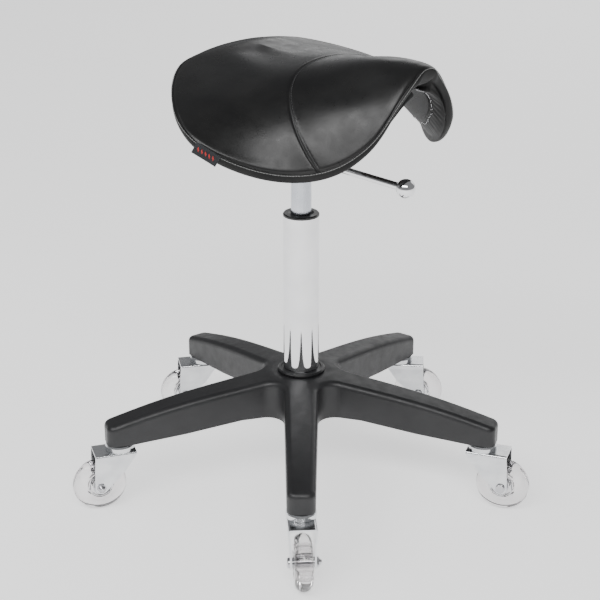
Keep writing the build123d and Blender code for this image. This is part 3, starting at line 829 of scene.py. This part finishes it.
def woven_material(name, first, second, scale, roughness=0.8):
    s = Shader(name, first, roughness, Sheen_Weight=0.15)
    s.vary_colour(s.noise(40, 4), first, second)
    weave = s.node("ShaderNodeTexWave", wave_type="BANDS", bands_direction="X")
    weave.inputs["Scale"].default_value = scale
    weave.inputs["Distortion"].default_value = 0.6
    s.tree.links.new(s.place, weave.inputs["Vector"])
    weft = s.node("ShaderNodeTexWave", wave_type="BANDS", bands_direction="Y")
    weft.inputs["Scale"].default_value = scale
    weft.inputs["Distortion"].default_value = 0.6
    s.tree.links.new(s.place, weft.inputs["Vector"])
    s.raise_by(weave.outputs["Fac"], 0.00012, 0.7)
    s.raise_by(weft.outputs["Fac"], 0.00012, 0.7)
    return s.material


def metal_material(name, first, second, rough, grain=None, bump=0.00002, mottle=30):
    s = Shader(name, first, rough[0], 1.0)
    s.vary_colour(s.noise(mottle, 4), first, second)
    vector = s.stretched(grain) if grain else None
    s.vary_roughness(s.noise(180, 5, 0.6, vector), rough[0], rough[1])
    s.raise_by(s.noise(420, 4, 0.6, vector), bump, 0.5)
    return s.material


def plastic_material(name, first, second, rough, cell=650, bump=0.0001, level=0.5):
    s = Shader(name, first, rough[0], Specular_IOR_Level=level)
    s.vary_colour(s.noise(11, 4), first, second)
    s.vary_roughness(s.noise(75, 5, 0.6), rough[0], rough[1])
    s.raise_by(s.cells(cell), bump, 0.6)
    s.raise_by(s.noise(2200, 3), bump * 0.4, 0.6)
    return s.material


def clear_material(name, tint, rough):
    s = Shader(name, tint, rough[0], Transmission_Weight=1.0, IOR=1.47)
    s.vary_colour(s.noise(35, 3), tint, tuple(0.97 * c for c in tint))
    s.vary_roughness(s.noise(140, 4), rough[0], rough[1])
    s.raise_by(s.noise(60, 3), 0.00012, 0.5)
    return s.material


def wood_material(name, first, second):
    s = Shader(name, first, 0.6)
    s.vary_colour(s.noise(40, 6, 0.6, s.stretched((1, 0.15, 9))), first, second)
    s.raise_by(s.noise(300, 4, 0.6, s.stretched((1, 0.2, 4))), 0.0002, 0.5)
    return s.material


def foam_material():
    s = Shader("pad_foam", (0.6, 0.55, 0.4), 0.9)
    s.vary_colour(s.noise(60, 4), (0.6, 0.55, 0.4), (0.48, 0.42, 0.3))
    s.raise_by(s.cells(900), 0.0004, 0.9)
    return s.material


def all_materials():
    """One finished material for every kind of surface on the stool."""
    return {
        "leather": leather_material("black_leather", 0.36, (0.25, 0.38)),
        "edge_leather": leather_material("black_leather_edge", 0.16, (0.42, 0.56)),
        "pale_thread": thread_material("pale_thread", (0.34, 0.34, 0.33), (0.24, 0.24, 0.24)),
        "dark_thread": thread_material("dark_thread", (0.03, 0.03, 0.032), (0.05, 0.05, 0.052)),
        "red_thread": thread_material("red_thread", (0.55, 0.02, 0.015), (0.42, 0.012, 0.01)),
        "label": woven_material("woven_tab", (0.008, 0.009, 0.011), (0.016, 0.018, 0.022), 900),
        "dust": woven_material("dust_cloth_weave", (0.006, 0.006, 0.0065), (0.011, 0.011, 0.012), 420),
        "chrome": metal_material("polished_chrome", (0.86, 0.86, 0.87), (0.8, 0.8, 0.81), (0.03, 0.07)),
        "satin": metal_material(
            "satin_cylinder", (0.6, 0.62, 0.66), (0.5, 0.52, 0.56), (0.2, 0.32), (1, 1, 0.02), 0.00003
        ),
        "zinc": metal_material(
            "zinc_plate", (0.78, 0.79, 0.8), (0.66, 0.67, 0.69), (0.13, 0.26), None, 0.00004, 60
        ),
        "steel": metal_material("turned_steel", (0.62, 0.62, 0.63), (0.5, 0.5, 0.52), (0.16, 0.3)),
        "brass": metal_material("brass_insert", (0.8, 0.6, 0.28), (0.65, 0.47, 0.2), (0.2, 0.35)),
        "black_steel": plastic_material(
            "black_enamel", (0.012, 0.012, 0.013), (0.02, 0.02, 0.021), (0.3, 0.42), 1400, 0.00005
        ),
        "nylon": plastic_material(
            "base_nylon", (0.0125, 0.0125, 0.0135), (0.02, 0.02, 0.0215), (0.36, 0.5), 700, 0.00008
        ),
        "black_plastic": plastic_material(
            "black_plastic", (0.011, 0.011, 0.012), (0.018, 0.018, 0.019), (0.25, 0.38), 1200, 0.00004
        ),
        "rubber": plastic_material("rubber_stop", (0.015, 0.015, 0.015), (0.025, 0.025, 0.025), (0.6, 0.8)),
        "clear": clear_material("clear_tyre", (0.93, 0.91, 0.91), (0.02, 0.07)),
        "core": clear_material("wheel_core_clear", (0.86, 0.86, 0.87), (0.06, 0.14)),
        "plywood": wood_material("plywood_edge", (0.5, 0.34, 0.19), (0.3, 0.19, 0.1)),
        "stained_wood": wood_material("stained_plywood", (0.035, 0.03, 0.027), (0.018, 0.016, 0.015)),
        "foam": foam_material(),
    }


def finish_for(node):
    """Which material a CAD node gets."""
    kinds = {
        "star_base": "nylon", "hub_ring": "black_plastic", "column_tube": "chrome",
        "column_bush": "black_plastic", "column_foot": "steel", "lower_thrust_race": "steel",
        "upper_thrust_race": "steel", "thrust_balls": "steel", "caster_stems": "zinc",
        "caster_cups": "zinc", "caster_swivel_balls": "steel", "stem_grip_rings": "steel",
        "piston_rod": "chrome", "piston_head": "steel", "bump_stop": "rubber", "rod_clip": "steel",
        "gas_cylinder": "satin", "rod_guide_seal": "rubber", "taper_socket": "black_steel",
        "mechanism_plate": "black_steel", "mounting_block": "stained_wood", "mounting_bolts": "zinc",
        "threaded_inserts": "brass", "seat_pan": "plywood", "seat_foam": "foam",
        "seat_cover": "leather", "underside_panel": "dust", "staples": "steel",
        "label_tab": "label", "lever_rod": "chrome", "lever_knob": "chrome",
        "lever_pivot": "steel", "release_pin": "steel",
        "fork": "zinc", "axle": "steel", "tyre": "clear", "wheel_core": "core", "bearings": "steel",
    }
    if node in kinds:
        return kinds[node]
    return kinds[node.rsplit("_", 1)[0]]


def dress_cad(materials):
    """Give every CAD node its material, in its existing slots."""
    for name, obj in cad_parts.items():
        wanted = materials[finish_for(name)]
        if not obj.material_slots:
            obj.data.materials.append(wanted)
        for slot in obj.material_slots:
            slot.material = wanted


# ------------------------------------------------------------------ studio
# name, compass direction from the seat (0 = away from the camera), height angle,
# distance, size, brightness, colour
LIGHTS = [
    ("key_softbox", -165, 41, 3.2, (3.6, 0.85), 9.5, (1.0, 1.0, 1.0)),
    ("left_softbox", -112, 38, 3.2, (1.7, 0.6), 3.0, (0.96, 0.98, 1.0)),
    ("left_high", -70, 52, 3.2, (1.0, 0.6), 1.2, (1.0, 1.0, 1.0)),
    ("back_panel", 27, 18, 5.0, (5.0, 2.4), 1.3, (1.0, 1.0, 1.0)),
]
FLOOR_GLOW = 1.0


def build_floor():
    """A wide pale floor that isn't part of the stool."""
    size, cuts = 12.0, 12
    ticks = [size * (i / cuts - 0.5) * 2 for i in range(cuts + 1)]
    verts = [(x, y, 0) for y in ticks for x in ticks]
    faces = []
    for j in range(cuts):
        for i in range(cuts):
            a = j * (cuts + 1) + i
            faces.append((a, a + 1, a + cuts + 2, a + cuts + 1))
    floor = new_object("studio_floor", verts, faces)
    s = Shader("pale_floor", (0.9, 0.9, 0.9), 0.7, Specular_IOR_Level=0.2)
    s.vary_colour(s.noise(2.0, 3), (0.9, 0.9, 0.9), (0.88, 0.88, 0.88))
    s.bsdf.inputs["Emission Color"].default_value = (1, 1, 1, 1)
    s.bsdf.inputs["Emission Strength"].default_value = FLOOR_GLOW
    floor.data.materials.append(s.material)
    return floor


def area_light(name, place, target, size, power, colour=(1, 1, 1)):
    """A soft rectangular light aimed at a point."""
    light = bpy.data.lights.new(name, "AREA")
    light.shape = "RECTANGLE"
    light.size, light.size_y = size
    light.energy = power
    light.color = colour
    obj = bpy.data.objects.new(name, light)
    obj.location = place
    obj.rotation_euler = (Vector(target) - Vector(place)).to_track_quat("-Z", "Y").to_euler()
    bpy.context.scene.collection.objects.link(obj)
    return obj


def build_lights():
    """A long key softbox behind the camera, a lower one on the left, and a dim back panel."""
    world = bpy.data.worlds.new("studio")
    bpy.context.scene.world = world
    world.use_nodes = True
    background = world.node_tree.nodes["Background"]
    background.inputs["Color"].default_value = (0.97, 0.98, 1.0, 1)
    background.inputs["Strength"].default_value = 0.26
    seat = Vector((0, 0, 0.6))
    for name, turn, rise, away, size, glow, colour in LIGHTS:
        turn, rise = math.radians(turn), math.radians(rise)
        toward = Vector((math.sin(turn) * math.cos(rise), math.cos(turn) * math.cos(rise), math.sin(rise)))
        power = glow * math.pi * size[0] * size[1]
        area_light(name, seat + toward * away, seat, size, power, colour)


def build_camera():
    """The photograph's viewpoint: 21.9 degrees above the level, long lens."""
    low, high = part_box("gas_cylinder")
    aim = Vector(((low.x + high.x) / 2, (low.y + high.y) / 2, 0.276))
    distance, rise = 1.9756, math.radians(21.9)
    camera = bpy.data.cameras.new("camera")
    camera.lens, camera.sensor_width = 84.9, 36.0
    camera.shift_x = -0.002
    obj = bpy.data.objects.new("camera", camera)
    obj.location = aim + Vector((0, -math.cos(rise), math.sin(rise))) * distance
    obj.rotation_euler = (aim - obj.location).to_track_quat("-Z", "Y").to_euler()
    bpy.context.scene.collection.objects.link(obj)
    bpy.context.scene.camera = obj


# ------------------------------------------------------------------ assembly
def build_seat(materials):
    """All the sewn and soft parts of the seat, on the seat body."""
    cushion = build_cushion(materials["leather"], materials["edge_leather"])
    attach(cushion, "seat")
    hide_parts("seat_cover", "seat_foam", "seat_pan")

    edge_thread = perimeter_stitches(materials["pale_thread"])
    seam_thread = cross_stitches(materials["dark_thread"])
    for piece in (edge_thread, seam_thread):
        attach(piece, "seat")

    staples = staple_row(materials["steel"])
    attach(staples, "seat")
    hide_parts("staples")

    cover = dust_cover(materials["dust"])
    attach(cover, "seat")
    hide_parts("underside_panel")

    tab, marks = label_parts(materials["label"], materials["red_thread"])
    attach(tab, "seat")
    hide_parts("label_tab")
    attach(marks, "seat")


MATERIALS = all_materials()
dress_cad(MATERIALS)
build_seat(MATERIALS)
build_floor()
build_lights()
build_camera()
